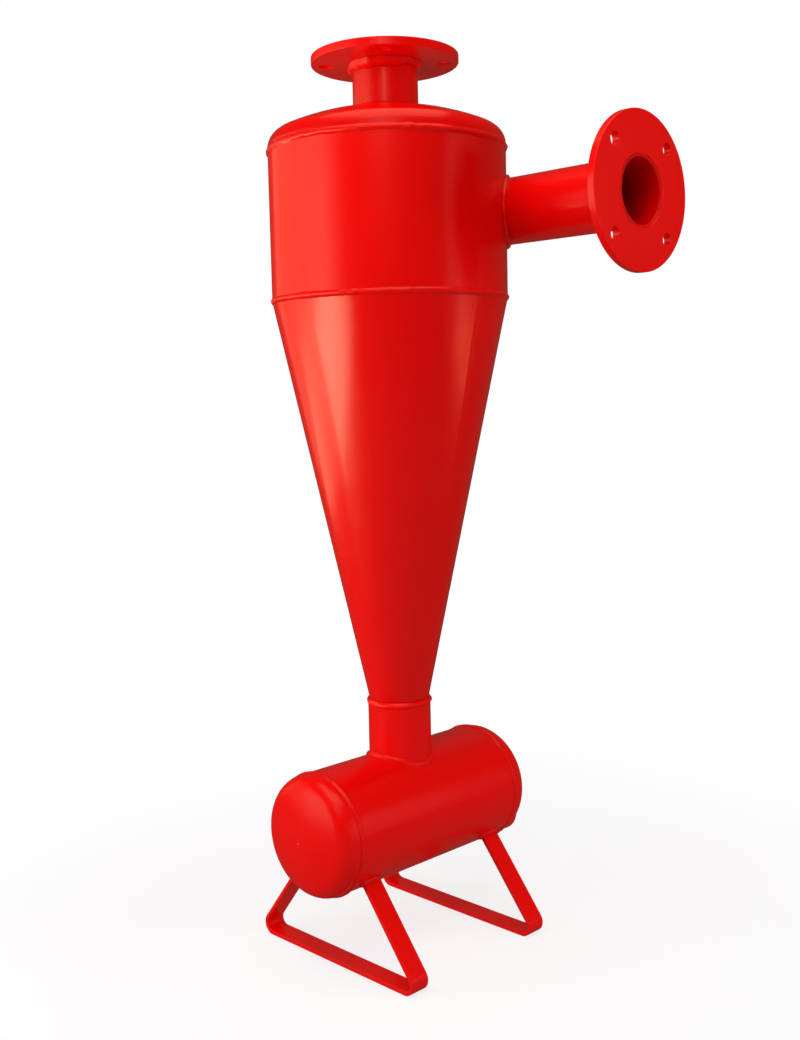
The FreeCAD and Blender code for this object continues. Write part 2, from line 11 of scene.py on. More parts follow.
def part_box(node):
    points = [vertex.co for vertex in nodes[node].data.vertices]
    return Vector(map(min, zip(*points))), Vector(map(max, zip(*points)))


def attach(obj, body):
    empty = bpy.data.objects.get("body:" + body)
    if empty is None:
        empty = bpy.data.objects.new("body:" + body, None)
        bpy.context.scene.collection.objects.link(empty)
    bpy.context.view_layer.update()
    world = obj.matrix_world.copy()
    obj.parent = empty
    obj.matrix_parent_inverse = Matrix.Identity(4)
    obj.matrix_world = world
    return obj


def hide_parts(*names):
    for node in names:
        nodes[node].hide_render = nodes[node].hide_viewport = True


MM = 0.001
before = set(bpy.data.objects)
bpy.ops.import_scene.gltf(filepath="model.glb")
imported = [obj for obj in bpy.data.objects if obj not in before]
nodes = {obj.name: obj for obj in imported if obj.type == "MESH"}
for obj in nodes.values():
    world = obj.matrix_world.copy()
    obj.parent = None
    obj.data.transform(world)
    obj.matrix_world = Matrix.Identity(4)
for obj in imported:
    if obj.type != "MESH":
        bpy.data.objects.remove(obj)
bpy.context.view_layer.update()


# where the pieces are


def middle(node):
    low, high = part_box(node)
    return (low + high) / 2


axis = middle("outlet_flange")
AXIS_X, AXIS_Y = axis.x, axis.y
FLANGE_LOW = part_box("outlet_flange")[0].z
FLANGE_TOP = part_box("outlet_flange")[1].z
FLANGE_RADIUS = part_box("outlet_flange")[1].x - AXIS_X
PIPE_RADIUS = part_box("outlet_pipe")[1].x - AXIS_X
PIPE_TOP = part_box("outlet_pipe")[1].z
HEAD_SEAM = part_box("barrel")[1].z
CONE_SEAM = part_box("barrel")[0].z
CONE_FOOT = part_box("cone")[0].z
BARREL_RADIUS = AXIS_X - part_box("barrel")[0].x
INLET = middle("inlet_flange")
INLET_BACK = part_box("inlet_flange")[0].x
INLET_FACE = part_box("inlet_flange")[1].x
INLET_PIPE_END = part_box("inlet_pipe")[1].x
TANK = middle("tank_shell")
TANK_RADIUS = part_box("tank_shell")[1].x - TANK.x
TANK_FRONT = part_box("tank_shell")[0].y
TANK_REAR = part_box("tank_shell")[1].y
HEAD_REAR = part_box("tank_rear_head")[1].y
SOCKET = middle("drain_socket")
SOCKET_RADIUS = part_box("drain_socket")[1].x - SOCKET.x
SOCKET_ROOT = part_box("drain_socket")[0].y
SOCKET_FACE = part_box("drain_socket")[1].y

RIGHT = np.array([1.0, 0.0, 0.0])
BACK = np.array([0.0, 1.0, 0.0])
UP = np.array([0.0, 0.0, 1.0])


FINE_ROUND = 720
# the steps of a rounded edge, from the flat to the side
EDGE_TURN = [math.radians(15 * k) for k in range(7)]


def unit(v):
    return v / np.linalg.norm(v, axis=-1, keepdims=True)


def full_turn(count):
    """Angles all round a circle, without the last one that closes it."""
    return np.linspace(0, 2 * math.pi, count, endpoint=False)


# meshes

SAME_POINT = 2e-6
CRISP_ANGLE = math.radians(40)


def make_mesh(name, points, faces, weighted=False, crisp=False, crest=None):
    """A smooth-shaded mesh; crest says how exposed each point is: 1 an edge, -1 a corner, which
    the paint darkens with painted shade.
    """
    mesh = bpy.data.meshes.new(name)
    mesh.from_pydata([tuple(p) for p in points], [], faces)
    if crest is not None:
        exposed = mesh.attributes.new("crest", "FLOAT", "POINT")
        exposed.data.foreach_set("value", np.asarray(crest, dtype=np.float32).ravel())
    work = bmesh.new()
    work.from_mesh(mesh)
    bmesh.ops.remove_doubles(work, verts=work.verts, dist=SAME_POINT)
    bmesh.ops.recalc_face_normals(work, faces=work.faces)
    work.to_mesh(mesh)
    work.free()
    for face in mesh.polygons:
        face.use_smooth = True
    if crisp:
        mesh.set_sharp_from_angle(angle=CRISP_ANGLE)
    piece = bpy.data.objects.new(name, mesh)
    bpy.context.scene.collection.objects.link(piece)
    if weighted:
        modifier = piece.modifiers.new("flat_faces", "WEIGHTED_NORMAL")
        modifier.weight = 100
        modifier.keep_sharp = False
    return piece


def grid_faces(rows, columns, wrap_rows, wrap_columns, start=0):
    """Quads over a grid of points held row by row."""
    faces = []
    for i in range(rows if wrap_rows else rows - 1):
        j = (i + 1) % rows
        for k in range(columns if wrap_columns else columns - 1):
            n = (k + 1) % columns
            faces.append((
                start + i * columns + k, start + i * columns + n,
                start + j * columns + n, start + j * columns + k,
            ))
    return faces


# weld beads

# about how far apart the swings of a bead lie along it
WIDTH_WAVE = 11 * MM
HEIGHT_WAVE = 9 * MM
SLOW_WAVE = 45 * MM
DRIFT_WAVE = 60 * MM
RIPPLE_WAVE = 7 * MM
# where the welder stopped and started again: a swelling with a hollow behind it
RESTART_SPACING = 85 * MM
RESTART_LENGTH = 4.2 * MM
RESTART_JITTER = 0.25
WEAKEST_RESTART = 0.35
CRATER_OFFSET = 8.5 * MM
CRATER_LENGTH = 3.6 * MM
CRATER_SHARE = 0.45
# how much each swing changes the bead's width, its height and its place
WIDTH_SWING, WIDTH_SLOW, WIDTH_RESTART = 0.10, 0.07, 0.16
HEIGHT_SWING, HEIGHT_SLOW, HEIGHT_RESTART = 0.20, 0.14, 0.55
DRIFT_SWING = 0.09
RIPPLE_WANDER, RIPPLE_HEIGHT = 0.16, 0.17
# the bead's section
BEAD_COLUMNS = 13
HUMP_POWER = 1.25
RIPPLE_POWER = 0.8
RIPPLE_LAG = 1.3 * MM
RIPPLE_MEAN = 0.62
EDGE_SINK = 0.35 * MM
ROOT_DEPTH = 1.6 * MM


def smooth_noise(length, spacing, rng):
    """A closed run of smooth random values, about one wave to each spacing."""
    count = max(4, int(round(length / spacing)))
    values = rng.uniform(-1, 1, count)

    def at(s):
        u = (s / length * count) % count
        i = np.floor(u).astype(int)
        f = u - i
        f = f * f * (3 - 2 * f)
        return values[i % count] * (1 - f) + values[(i + 1) % count] * f

    return at


def bead(name, node, path, along_a, along_b, outward, leg_a, leg_b, rise, seed,
         lumps=1.0, pitch=3.4 * MM, step=1.0 * MM):
    """A hand-made weld bead round a closed path.

    At each point of the path the section runs from leg_a along one surface to leg_b along
    the other, bulging outward by rise; ripples, lumps and restarts vary it along the way."""
    rng = np.random.default_rng(seed)
    gaps = np.linalg.norm(np.roll(path, -1, 0) - path, axis=1)
    length = gaps.sum()
    reach = np.concatenate([[0.0], np.cumsum(gaps)])
    count = int(length / step)
    s = np.linspace(0, length, count, endpoint=False)

    def resample(values):
        closed = np.vstack([values, values[:1]])
        return np.stack([np.interp(s, reach, closed[:, i]) for i in range(3)], 1)

    p = resample(path)
    a, b, n = (unit(resample(v)) for v in (along_a, along_b, outward))
    wide = smooth_noise(length, WIDTH_WAVE, rng)
    high = smooth_noise(length, HEIGHT_WAVE, rng)
    slow = smooth_noise(length, SLOW_WAVE, rng)
    drift = smooth_noise(length, DRIFT_WAVE, rng)
    wobble = smooth_noise(length, RIPPLE_WAVE, rng)
    ripples = max(3, int(round(length / pitch)))
    restarts = max(2, int(round(length / RESTART_SPACING)))
    spots = (np.arange(restarts) + rng.uniform(-RESTART_JITTER, RESTART_JITTER, restarts))
    spots = spots * length / restarts
    strength = rng.uniform(WEAKEST_RESTART, 1.0, restarts)
    swell = np.zeros(count)
    for spot, amount in zip(spots, strength):
        away = (s - spot + length / 2) % length - length / 2
        swell += amount * np.exp(-(away / RESTART_LENGTH) ** 2)
        crater = np.exp(-((away - CRATER_OFFSET) / CRATER_LENGTH) ** 2)
        swell -= CRATER_SHARE * amount * crater
    points = np.zeros((count, BEAD_COLUMNS + 1, 3))
    crest = np.full((count, BEAD_COLUMNS + 1), -1.0)
    width = 1 + WIDTH_SWING * lumps * wide(s) + WIDTH_SLOW * lumps * slow(s)
    width += WIDTH_RESTART * lumps * swell
    height = 1 + HEIGHT_SWING * lumps * high(s) + HEIGHT_SLOW * lumps * slow(s)
    height += HEIGHT_RESTART * lumps * swell
    shift = DRIFT_SWING * lumps * drift(s)
    for k, t in enumerate(np.linspace(0, 1, BEAD_COLUMNS)):
        side_a = leg_a * (1 - t) * (width + shift)
        side_b = leg_b * t * (width - shift)
        lag = (2 * t - 1) ** 2 * RIPPLE_LAG
        turn = ripples * (s - lag) / length + RIPPLE_WANDER * wobble(s)
        scallop = np.abs(np.sin(np.pi * turn)) ** RIPPLE_POWER - RIPPLE_MEAN
        hump = math.sin(math.pi * t) ** HUMP_POWER
        lift = rise * hump * (height + RIPPLE_HEIGHT * scallop)
        sink = EDGE_SINK * (1 - hump)
        points[:, k] = p + a * side_a[:, None] + b * side_b[:, None]
        points[:, k] += n * (lift - sink)[:, None]
        # the toes and the root keep -1: hollows that the paint darkens with painted shade
        crest[:, k] = 1.6 * hump - 1 + 0.55 * scallop * hump
    points[:, BEAD_COLUMNS] = p - n * ROOT_DEPTH
    faces = grid_faces(count, BEAD_COLUMNS + 1, True, True)
    piece = make_mesh(name, points.reshape(-1, 3), faces, crest=crest)
    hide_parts(node)
    return piece


def round_path(centre, radius, first, second):
    """Points of a circle and the outward directions there."""
    turn = full_turn(FINE_ROUND)[:, None]
    outward = np.cos(turn) * first + np.sin(turn) * second
    return np.array(centre) + radius * outward, outward


def tangents(path):
    return unit(np.roll(path, -1, 0) - np.roll(path, 1, 0))


def corner_bead(name, node, path, stem_normal, plate_normal, leg_plate, leg_stem, **more):
    """A corner weld where a stem stands on a plate or a shell."""
    t = tangents(path)
    on_plate = np.cross(t, plate_normal)
    on_plate *= np.sign((on_plate * stem_normal).sum(1, keepdims=True))
    on_stem = np.cross(t, stem_normal)
    on_stem *= np.sign((on_stem * plate_normal).sum(1, keepdims=True))
    out = unit(stem_normal + plate_normal)
    return bead(name, node, path, on_plate, on_stem, out, leg_plate, leg_stem, **more)


def seam_bead(name, node, centre, radius, first, second, along, half, lean=0.0, **more):
    """A butt weld round a seam; lean tips its lower half inwards, for a cone."""
    path, out = round_path(centre, radius, first, second)
    ahead = np.broadcast_to(along, path.shape)
    behind = unit(-ahead - out * lean)
    return bead(name, node, path, ahead, behind, unit(out), half, half, **more)


def ring_normals(path, direction):
    return np.broadcast_to(direction, path.shape)


def crown_normals(path, centre):
    return unit(path - np.array(centre))


centre_line = np.array([AXIS_X, AXIS_Y, 0.0])
welds = []

# the two flange welds
path, out = round_path(centre_line + UP * FLANGE_LOW, PIPE_RADIUS, RIGHT, BACK)
welds.append(corner_bead(
    "outlet_flange_bead", "outlet_flange_weld", path, out, ring_normals(path, -UP),
    leg_plate=8.4 * MM, leg_stem=10.6 * MM, rise=1.4 * MM, seed=11, lumps=1.8, pitch=4.6 * MM,
))
inlet_back = np.array([INLET_BACK, INLET.y, INLET.z])
path, out = round_path(inlet_back, PIPE_RADIUS, BACK, UP)
welds.append(corner_bead(
    "inlet_flange_bead", "inlet_flange_weld", path, out, ring_normals(path, -RIGHT),
    leg_plate=8.4 * MM, leg_stem=10.6 * MM, rise=1.4 * MM, seed=12, lumps=1.8, pitch=4.6 * MM,
))

# the outlet pipe through the domed head
HEAD_CROWN_DEPTH = 56 * MM
HEAD_SKIRT = 4 * MM
HEAD_KNUCKLE = 24 * MM


def crown_radius(radius, depth, knuckle):
    span = radius - knuckle
    return (span * span + depth * depth - knuckle * knuckle) / ((depth - knuckle) * 2)


crown = crown_radius(BARREL_RADIUS, HEAD_CROWN_DEPTH - HEAD_SKIRT, HEAD_KNUCKLE)
crown_centre = centre_line + UP * (HEAD_SEAM + HEAD_CROWN_DEPTH - crown)
landing = crown_centre[2] + math.sqrt(crown**2 - PIPE_RADIUS**2)
path, out = round_path(centre_line + UP * landing, PIPE_RADIUS, RIGHT, BACK)
welds.append(corner_bead(
    "outlet_head_bead", "outlet_head_weld", path, out, crown_normals(path, crown_centre),
    leg_plate=4.6 * MM, leg_stem=4.8 * MM, rise=0.6 * MM, seed=13, lumps=0.8,
))

# the barrel's seams and the cone's foot
welds.append(seam_bead(
    "head_seam_bead", "head_seam_weld", centre_line + UP * HEAD_SEAM, BARREL_RADIUS,
    RIGHT, BACK, UP, half=5.0 * MM, rise=2.3 * MM, seed=14,
))
cone_slope = (BARREL_RADIUS - PIPE_RADIUS) / (CONE_SEAM - CONE_FOOT)
welds.append(seam_bead(
    "barrel_cone_bead", "barrel_cone_weld", centre_line + UP * CONE_SEAM, BARREL_RADIUS,
    RIGHT, BACK, UP, half=4.8 * MM, rise=2.3 * MM, seed=15, lean=cone_slope,
))
NECK_SEAM_DROP, NECK_SEAM_INSET, NECK_SEAM_LEAN = 0.4 * MM, 0.7 * MM, -0.12
welds.append(seam_bead(
    "cone_neck_bead", "cone_neck_weld", centre_line + UP * (CONE_FOOT - NECK_SEAM_DROP),
    PIPE_RADIUS - NECK_SEAM_INSET, RIGHT, BACK, UP, half=4.9 * MM, rise=2.4 * MM, seed=16,
    lean=NECK_SEAM_LEAN, lumps=1.1,
))

# the tank's seams
for label, y, seed in (("front", TANK_FRONT, 17), ("rear", TANK_REAR, 18)):
    welds.append(seam_bead(
        f"tank_{label}_bead", f"tank_{label}_weld", np.array([TANK.x, y, TANK.z]),
        TANK_RADIUS, RIGHT, UP, BACK, half=5.2 * MM, rise=1.9 * MM, seed=seed, lumps=0.8,
    ))

# the underflow pipe on the tank and the inlet pipe on the barrel
path, out = round_path(centre_line, PIPE_RADIUS, RIGHT, BACK)
path[:, 2] = TANK.z + np.sqrt(TANK_RADIUS**2 - (path[:, 0] - TANK.x) ** 2)
shell = path - np.array([TANK.x, 0, TANK.z])
shell[:, 1] = 0
welds.append(corner_bead(
    "neck_tank_bead", "neck_tank_weld", path, out, unit(shell),
    leg_plate=5.6 * MM, leg_stem=5.6 * MM, rise=0.9 * MM, seed=19, lumps=0.9,
))
path, out = round_path([0.0, INLET.y, INLET.z], PIPE_RADIUS, BACK, UP)
path[:, 0] = AXIS_X + np.sqrt(BARREL_RADIUS**2 - (path[:, 1] - AXIS_Y) ** 2)
shell = path - centre_line
shell[:, 2] = 0
welds.append(corner_bead(
    "inlet_barrel_bead", "inlet_barrel_weld", path, out, unit(shell),
    leg_plate=6.0 * MM, leg_stem=6.0 * MM, rise=1.2 * MM, seed=20, lumps=1.1,
))


# ground welds in the flange faces

PIPE_WALL = 3.2 * MM
RING_ROUND = 240
RING_WAVE = 0.06
RING_LIP = 2.0 * MM
RING_UNDER = 0.2 * MM
RING_OVER = 0.05 * MM
RING_GRINDING = 0.22 * MM
LIP_POINTS = range(2, 8)


def face_ring(name, node, base, first, second, along, depth, seed):
    """The ground weld between a pipe's end and its flange's face, with a softened lip."""
    rng = np.random.default_rng(seed)
    wave = smooth_noise(1.0, RING_WAVE, rng)(np.linspace(0, 1, RING_ROUND, endpoint=False))
    turn = full_turn(RING_ROUND)
    outward = np.cos(turn)[:, None] * first + np.sin(turn)[:, None] * second
    inner = PIPE_RADIUS - PIPE_WALL
    corner = inner + 0.3 * MM
    lip_foot = depth - RING_LIP
    profile = [(inner, -RING_UNDER), (inner, 0.4 * MM), (corner - 0.1 * MM, lip_foot)]
    for bend in EDGE_TURN[1:]:
        profile.append((
            corner + RING_LIP * (1 - math.cos(bend)), lip_foot + RING_LIP * math.sin(bend)
        ))
    profile.append((PIPE_RADIUS + RING_OVER, depth))
    profile.append((PIPE_RADIUS + RING_OVER, -RING_UNDER))
    points = np.zeros((RING_ROUND, len(profile), 3))
    for k, (r, h) in enumerate(profile):
        soften = wave * RING_GRINDING if k in LIP_POINTS else wave * 0
        points[:, k] = np.array(base) + outward * (r + soften)[:, None] + along * h
    faces = grid_faces(RING_ROUND, len(profile), True, True)
    piece = make_mesh(name, points.reshape(-1, 3), faces, crisp=True)
    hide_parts(node)
    return piece


welds.append(face_ring(
    "outlet_face_ring", "outlet_face_weld", centre_line + UP * PIPE_TOP, RIGHT, BACK, UP,
    FLANGE_TOP - PIPE_TOP, 21,
))
welds.append(face_ring(
    "inlet_face_ring", "inlet_face_weld", np.array([INLET_PIPE_END, INLET.y, INLET.z]),
    BACK, UP, RIGHT, INLET_FACE - INLET_PIPE_END, 22,
))


# the plate flanges

BOLT_CIRCLE = 80 * MM
BOLT_HOLE = 9 * MM
RIM_EDGE = 1.3 * MM
HOLE_EDGE = 0.8 * MM
QUARTER_ARC = 30
QUARTER_SIDE = 10
HOLE_RINGS = 6


def polar(r, turn):
    return np.array([r * math.cos(turn), r * math.sin(turn)])


def flange(name, node, base, first, second, along, thick):
    """A round plate with a bore and four bolt holes, every edge softened."""
    arc, side = QUARTER_ARC, QUARTER_SIDE
    points, faces, crest = [], [], []
    flat_out = FLANGE_RADIUS - RIM_EDGE

    def add_point(x, y, height, worn):
        points.append(np.array(base) + first * x + second * y + along * height)
        crest.append(worn)

    for hole in range(4):
        aim = math.radians(45 + 90 * hole)
        low, high = aim - math.pi / 4, aim + math.pi / 4
        border = [polar(flat_out, low + (high - low) * k / arc) for k in range(arc)]
        border += [
            polar(flat_out + (PIPE_RADIUS - flat_out) * k / side, high) for k in range(side)
        ]
        border += [polar(PIPE_RADIUS, high - (high - low) * k / arc) for k in range(arc)]
        border += [
            polar(PIPE_RADIUS + (flat_out - PIPE_RADIUS) * k / side, low) for k in range(side)
        ]
        border = np.array(border)
        centre = polar(BOLT_CIRCLE, aim)
        spoke = unit(border - centre)
        mouth = centre + spoke * (BOLT_HOLE + HOLE_EDGE)
        layers = []
        for k in range(HOLE_RINGS):
            share = k / HOLE_RINGS
            layers.append((border * (1 - share) + mouth * share, thick, 0.0))
        for bend in EDGE_TURN:
            r = BOLT_HOLE + HOLE_EDGE * (1 - math.sin(bend))
            height = thick - HOLE_EDGE * (1 - math.cos(bend))
            layers.append((centre + spoke * r, height, math.sin(2 * bend)))
        layers += [(flat, thick - height, worn) for flat, height, worn in reversed(layers)]
        start = len(points)
        for flat, height, worn in layers:
            for x, y in flat:
                add_point(x, y, height, worn)
        faces += grid_faces(len(layers), len(border), False, True, start)
    bore = [(PIPE_RADIUS, 0.0, 0.0), (PIPE_RADIUS, thick, 0.0)]
    around = full_turn(4 * arc)
    rim = []
    for bend in EDGE_TURN:
        height = thick - RIM_EDGE * (1 - math.cos(bend))
        rim.append((flat_out + RIM_EDGE * math.sin(bend), height, math.sin(2 * bend)))
    rim += [(r, thick - height, worn) for r, height, worn in reversed(rim)]
    for profile in (bore, rim):
        start = len(points)
        for turn in around:
            for r, height, worn in profile:
                add_point(*polar(r, turn), height, worn)
        faces += grid_faces(len(around), len(profile), True, False, start)
    piece = make_mesh(name, points, faces, weighted=True, crest=crest)
    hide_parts(node)
    return piece


flanges = [
    flange(
        "outlet_flange_plate", "outlet_flange", centre_line + UP * FLANGE_LOW, RIGHT, BACK,
        UP, FLANGE_TOP - FLANGE_LOW,
    ),
    flange(
        "inlet_flange_plate", "inlet_flange", inlet_back, BACK, UP,
        RIGHT, INLET_FACE - INLET_BACK,
    ),
]


# the strap feet

STRAP = 6 * MM
STRAP_WIDTH = 30 * MM
BEND = 16 * MM
LEG_LEAN = 0.79
STRAP_EDGE = 1.1 * MM
CORNER_STEPS = 4
BEND_STEPS = 16
LEG_STEPS = 8
FLOOR_STEPS = 8
LEG_ROOT = 1.2 * MM


def strap_section():
    """The rounded outline of the flat bar: offsets across its thickness and its width."""
    spots = []
    for across, wide, start in ((1, 1, 0), (-1, 1, 90), (-1, -1, 180), (1, -1, 270)):
        for k in range(CORNER_STEPS + 1):
            bend = math.radians(start + 90 / CORNER_STEPS * k)
            spots.append((
                across * (STRAP / 2 - STRAP_EDGE) + STRAP_EDGE * math.cos(bend),
                wide * (STRAP_WIDTH / 2 - STRAP_EDGE) + STRAP_EDGE * math.sin(bend),
            ))
    return np.array(spots)


bar_section = strap_section()
leg_run = math.sqrt(1 + LEG_LEAN**2)
straps, strap_welds = [], []


def reach_to_tank(outline, leg, radius):
    """How far each point of a leg's outline runs along the leg to a round about the tank."""
    near = outline - np.array([0, 0, TANK.z])
    b = near[:, 0] * leg[0] + near[:, 2] * leg[2]
    c = near[:, 0] ** 2 + near[:, 2] ** 2 - radius**2
    return -b - np.sqrt(b * b - c)


def strap_foot(label, seed):
    """One flat bar bent to a floor bar and two legs that end on the tank's belly."""
    low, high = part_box(f"{label}_foot")
    centre = (low + high) / 2
    half = (high.x - low.x) / 2
    corner = half - BEND
    lift = math.atan2(1, LEG_LEAN)
    middle_radius = BEND - STRAP / 2
    leg = np.array([-LEG_LEAN, 0.0, 1.0]) / leg_run
    halves = []
    for hand in (-1, 1):
        side = []
        for k in range(BEND_STEPS + 1):
            turn = -math.pi / 2 + (math.pi - lift) * k / BEND_STEPS
            out = np.array([math.cos(turn), 0.0, math.sin(turn)])
            spot = np.array([corner, 0.0, BEND]) + out * middle_radius
            side.append(spot + bar_section[:, :1] * out + bar_section[:, 1:] * BACK)
        last = side[-1]
        reach = reach_to_tank(last, leg, TANK_RADIUS - LEG_ROOT)
        for k in range(1, LEG_STEPS + 1):
            side.append(last + leg * (reach * k / LEG_STEPS)[:, None])
        halves.append(np.array(side) * np.array([hand, 1, 1]))
        strap_weld(label, hand, centre, last, leg, seed + hand)
    left, right = halves
    ladder = list(left[::-1])
    for k in range(1, FLOOR_STEPS):
        share = k / FLOOR_STEPS
        ladder.append(left[0] * (1 - share) + right[0] * share)
    ladder += list(right)
    ladder = np.array(ladder) + np.array([centre.x, centre.y, 0])
    count, columns = ladder.shape[:2]
    points = ladder.reshape(-1, 3)
    faces = grid_faces(count, columns, False, True)
    faces.append(tuple(range(columns)))
    faces.append(tuple(range((count - 1) * columns, count * columns)))
    worn = np.tile(np.sin(np.radians(180 / CORNER_STEPS * np.arange(CORNER_STEPS + 1))), 4)
    piece = make_mesh(
        f"{label}_strap", points, faces, weighted=True, crest=np.tile(worn, count)
    )
    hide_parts(f"{label}_foot")
    straps.append(piece)


def strap_weld(label, hand, centre, outline, leg, seed):
    """The weld all round one leg's end on the tank."""
    path = outline + leg * reach_to_tank(outline, leg, TANK_RADIUS)[:, None]
    shell = unit(path - np.array([0, 0, TANK.z]) - path * BACK)
    side = np.cross(tangents(path), leg)
    side *= np.sign((side * (path - path.mean(0))).sum(1, keepdims=True))
    flip = np.array([hand, 1, 1])
    move = np.array([centre.x, centre.y, 0])
    name = "left" if hand < 0 else "right"
    strap_welds.append(corner_bead(
        f"{label}_strap_bead_{name}", f"{label}_foot_weld_{name}", path * flip + move,
        unit(side) * flip, shell * flip, leg_plate=4.6 * MM, leg_stem=4.6 * MM,
        rise=0.8 * MM, seed=seed, lumps=0.9, pitch=3.6 * MM, step=0.8 * MM,
    ))


strap_foot("front", 31)
strap_foot("rear", 41)
welds += strap_welds


# the drain socket, with its inside thread

THREAD_PITCH = 25.4 * MM / 11
THREAD_DEPTH = 1.48 * MM
BORE_RADIUS = 28.3 * MM
TANK_HEAD_DEPTH = HEAD_REAR - TANK_REAR
TANK_HEAD_SKIRT = 5 * MM
TANK_HEAD_KNUCKLE = 27 * MM
SOCKET_ROUND = 112
SOCKET_EDGE = 1.2 * MM
EDGE_STEPS = 5
WALL_STEPS = 8
THREAD_ROWS = 168
THREAD_START = 0.6 * MM
THREAD_RUN_IN = 2.2 * MM
MOUTH_BEVEL = 0.3 * MM
SOCKET_SINK = 1.0 * MM
TOOTH_SLOPE, TOOTH_FLAT = 2.6, 0.15


def rear_head_surface(x, z):
    """How far back the rear head's outside lies, and its normals, behind a spot."""
    bow = crown_radius(TANK_RADIUS, TANK_HEAD_DEPTH - TANK_HEAD_SKIRT, TANK_HEAD_KNUCKLE)
    out = np.hypot(x - TANK.x, z - TANK.z)
    capped = np.minimum(out, TANK_RADIUS - 0.05 * MM)
    bow_centre = HEAD_REAR - bow
    bend_centre = TANK_REAR + TANK_HEAD_SKIRT
    span = TANK_RADIUS - TANK_HEAD_KNUCKLE
    switch = bow * span / math.hypot(span, bend_centre - bow_centre)
    on_crown = bow_centre + np.sqrt(np.maximum(bow**2 - capped**2, 0))
    step = np.maximum(capped - span, 0)
    on_bend = bend_centre + np.sqrt(np.maximum(TANK_HEAD_KNUCKLE**2 - step**2, 0))
    y = np.where(capped < switch, on_crown, on_bend)
    radial = np.stack([x - TANK.x, 0 * x, z - TANK.z], 1) / out[:, None]
    rise = np.where(capped < switch, y - bow_centre, y - bend_centre)
    run = np.where(capped < switch, capped, step)
    return y, unit(radial * run[:, None] + BACK * rise[:, None])


def socket():
    """The round socket: its outside, its eased rim, and the thread in its bore."""
    turn = full_turn(SOCKET_ROUND)
    out = np.stack([np.cos(turn), 0 * turn, np.sin(turn)], 1)
    base = np.array([SOCKET.x, 0.0, SOCKET.z])
    columns = []

    def ring(radius, y):
        columns.append(base + out * np.reshape(radius, (-1, 1)) + np.reshape(y, (-1, 1)) * BACK)

    flat = np.ones(SOCKET_ROUND)
    start = {}
    for radius in (SOCKET_RADIUS, BORE_RADIUS):
        spots = base + out * radius
        y, _ = rear_head_surface(spots[:, 0], spots[:, 2])
        start[radius] = np.maximum(y - SOCKET_SINK, SOCKET_ROOT)
    wall_end = SOCKET_FACE - SOCKET_EDGE
    for k in range(WALL_STEPS + 1):
        y = start[SOCKET_RADIUS] * (1 - k / WALL_STEPS) + wall_end * k / WALL_STEPS
        ring(flat * SOCKET_RADIUS, y)
    for k in range(1, EDGE_STEPS + 1):
        bend = math.radians(90 / EDGE_STEPS * k)
        ring(
            flat * (SOCKET_RADIUS - SOCKET_EDGE * (1 - math.cos(bend))),
            flat * (wall_end + SOCKET_EDGE * math.sin(bend)),
        )
    mouth = BORE_RADIUS + THREAD_DEPTH + MOUTH_BEVEL
    ring(flat * mouth, flat * SOCKET_FACE)
    last = THREAD_ROWS - 1
    for k in range(THREAD_ROWS):
        y = (SOCKET_FACE - THREAD_START) * (1 - k / last) + start[BORE_RADIUS] * k / last
        phase = (y / THREAD_PITCH - turn / (2 * math.pi)) % 1.0
        tooth = np.clip(np.abs(phase - 0.5) * TOOTH_SLOPE - TOOTH_FLAT, 0, 1)
        fade = np.clip((SOCKET_FACE - y) / THREAD_RUN_IN, 0, 1)
        ring(BORE_RADIUS + THREAD_DEPTH * (1 - tooth * fade), y)
    grid = np.array(columns)
    faces = grid_faces(len(columns), SOCKET_ROUND, True, True)
    piece = make_mesh("drain_socket_threaded", grid.reshape(-1, 3), faces)
    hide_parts("drain_socket")
    return piece


drain = socket()
path, out = round_path([SOCKET.x, 0.0, SOCKET.z], SOCKET_RADIUS, RIGHT, UP)
y, head_normals = rear_head_surface(path[:, 0], path[:, 2])
path[:, 1] = np.maximum(y, SOCKET_ROOT + SOCKET_SINK)
welds.append(corner_bead(
    "drain_bead", "drain_socket_weld", path, out, head_normals,
    leg_plate=4.8 * MM, leg_stem=4.8 * MM, rise=0.8 * MM, seed=23, lumps=0.9,
))


# paint


